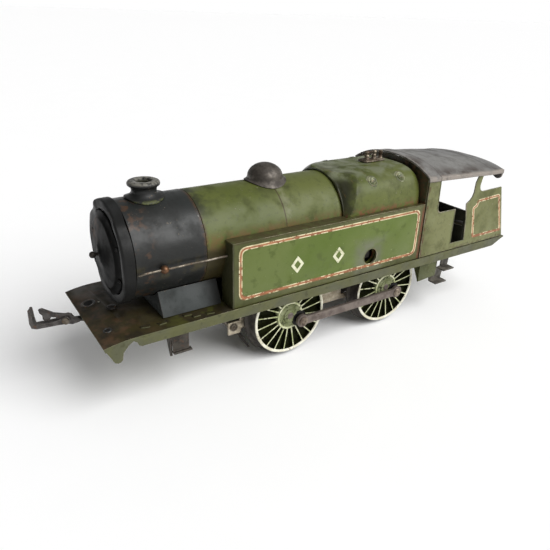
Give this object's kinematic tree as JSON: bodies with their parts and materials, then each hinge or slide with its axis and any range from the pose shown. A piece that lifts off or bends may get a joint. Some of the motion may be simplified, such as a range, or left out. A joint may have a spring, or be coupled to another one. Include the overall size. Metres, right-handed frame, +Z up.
{
  "type": "clockwork tank locomotive",
  "caption": "Gauge 0 tinplate tank locomotive with coupled spoked wheels, side tanks, cab, bunker, swinging couplings and a spring motor.",
  "frame": {"origin": "middle of the bounding box at the lowest point of the wheel flanges", "axes": "+Z up, +X towards the bunker, +Y towards the engine's right-hand side"},
  "size_m": [0.2592, 0.0528, 0.084],
  "materials": {
    "body_green": "worn satin enamel, grey-green and olive",
    "smokebox_black": "worn satin black",
    "roof_brown": "worn grey-brown satin",
    "dome_bronze": "tarnished bronze lacquer",
    "valve_brass": "aged, dull",
    "rail_steel": "dull, slightly rusted",
    "wheel_green": "worn green spokes and hub, dark iron tread and flange",
    "motor_nickel": "nickel plated, a little yellowed",
    "gear_brass": "plain",
    "spring_steel": "blued",
    "rod_steel": "brown-grey, oiled",
    "coupling_black": "gunmetal, worn"
  },
  "bodies": {
    "engine": {"footplate": "body_green", "smokebox_saddle": "smokebox_black", "smokebox": "smokebox_black", "smokebox_front": "smokebox_black", "smokebox_door": "smokebox_black", "door_knob": "rail_steel", "chimney": "smokebox_black", "boiler_barrel": "body_green", "boiler_dome": "dome_bronze", "firebox": "body_green", "safety_valves": "valve_brass", "handrail_left": "rail_steel", "handrail_right": "rail_steel", "handrail_knob_left": "valve_brass", "handrail_knob_right": "valve_brass", "left_tank": "body_green", "right_tank": "body_green", "cab_front": "body_green", "left_cab_side": "body_green", "right_cab_side": "body_green", "cab_roof": "roof_brown", "bunker_bulkhead": "smokebox_black", "bunker_back": "body_green", "left_front_step": "coupling_black", "right_front_step": "coupling_black", "left_rear_step": "body_green", "right_rear_step": "body_green", "front_coupling_rivet": "rail_steel", "rear_coupling_rivet": "rail_steel", "left_motor_plate": "motor_nickel", "right_motor_plate": "motor_nickel", "front_pillar": "rail_steel", "middle_pillar": "rail_steel", "rear_pillar": "rail_steel", "mainspring": "spring_steel"},
    "rear_wheelset": {"rear_axle": "rod_steel", "left_rear_wheel": "wheel_green", "right_rear_wheel": "wheel_green", "left_rear_crankpin": "rail_steel", "right_rear_crankpin": "rail_steel", "axle_gear": "gear_brass"},
    "front_wheelset": {"front_axle": "rod_steel", "left_front_wheel": "wheel_green", "right_front_wheel": "wheel_green", "left_front_crankpin": "rail_steel", "right_front_crankpin": "rail_steel"},
    "left_rod": {"left_coupling_rod": "rod_steel"},
    "right_rod": {"right_coupling_rod": "rod_steel"},
    "intermediate": {"intermediate_gear": "gear_brass", "intermediate_shaft": "rod_steel"},
    "great_wheel": {"great_gear": "gear_brass"},
    "arbor": {"winding_arbor": "rod_steel"},
    "brake": {"brake_lever": "rail_steel"},
    "reverse": {"reverse_lever": "rail_steel"},
    "front_hook": {"front_coupling_hook": "coupling_black", "front_link_pin": "rail_steel"},
    "front_link": {"front_coupling_link": "coupling_black"},
    "rear_hook": {"rear_coupling_hook": "coupling_black", "rear_link_pin": "rail_steel"},
    "rear_link": {"rear_coupling_link": "coupling_black"}
  },
  "joints": [
    {"name": "rear_axle_spin", "type": "hinge", "parent": "engine", "child": "rear_wheelset", "pos_m": [0.02856, 0, 0.0199], "axis": [0, -1, 0], "continuous": true},
    {"name": "front_axle_spin", "type": "hinge", "parent": "engine", "child": "front_wheelset", "pos_m": [-0.02864, 0, 0.0199], "axis": [0, -1, 0], "continuous": true},
    {"name": "left_rod_turn", "type": "hinge", "parent": "front_wheelset", "child": "left_rod", "pos_m": [-0.0237, -0.02315, 0.01726], "axis": [0, -1, 0], "continuous": true},
    {"name": "right_rod_turn", "type": "hinge", "parent": "front_wheelset", "child": "right_rod", "pos_m": [-0.026, 0.02315, 0.02484], "axis": [0, -1, 0], "continuous": true},
    {"name": "intermediate_spin", "type": "hinge", "parent": "engine", "child": "intermediate", "pos_m": [0.02947, 0, 0.03638], "axis": [0, -1, 0], "continuous": true},
    {"name": "great_wheel_spin", "type": "hinge", "parent": "engine", "child": "great_wheel", "pos_m": [0.01146, 0, 0.0416], "axis": [0, -1, 0], "continuous": true},
    {"name": "winding_turn", "type": "hinge", "parent": "great_wheel", "child": "arbor", "pos_m": [0.01146, 0, 0.0416], "axis": [0, -1, 0], "continuous": true},
    {"name": "brake_pull", "type": "slide", "parent": "engine", "child": "brake", "axis": [1, 0, 0], "range_m": [0, 0.0045]},
    {"name": "reverse_pull", "type": "slide", "parent": "engine", "child": "reverse", "axis": [1, 0, 0], "range_m": [0, 0.0045]},
    {"name": "front_coupling_swing", "type": "hinge", "parent": "engine", "child": "front_hook", "pos_m": [-0.10064, 0, 0.03], "axis": [0, 0, 1], "range_deg": [-3, 57]},
    {"name": "front_link_drop", "type": "hinge", "parent": "front_hook", "child": "front_link", "pos_m": [-0.11632, 0.00799, 0.0295], "axis": [0.454, 0.891, 0], "range_deg": [-75, 50]},
    {"name": "rear_coupling_swing", "type": "hinge", "parent": "engine", "child": "rear_hook", "pos_m": [0.09796, 0, 0.03], "axis": [0, 0, 1], "range_deg": [-30, 30]},
    {"name": "rear_link_drop", "type": "hinge", "parent": "rear_hook", "child": "rear_link", "pos_m": [0.11556, 0, 0.0295], "axis": [0, -1, 0], "range_deg": [-75, 50]}
  ],
  "couplings": [
    {"joint": "front_axle_spin", "follows": "rear_axle_spin", "ratio": 1},
    {"joint": "left_rod_turn", "follows": "rear_axle_spin", "ratio": -1},
    {"joint": "right_rod_turn", "follows": "rear_axle_spin", "ratio": -1},
    {"joint": "intermediate_spin", "follows": "rear_axle_spin", "ratio": -0.46667},
    {"joint": "great_wheel_spin", "follows": "rear_axle_spin", "ratio": 0.14737}
  ]
}
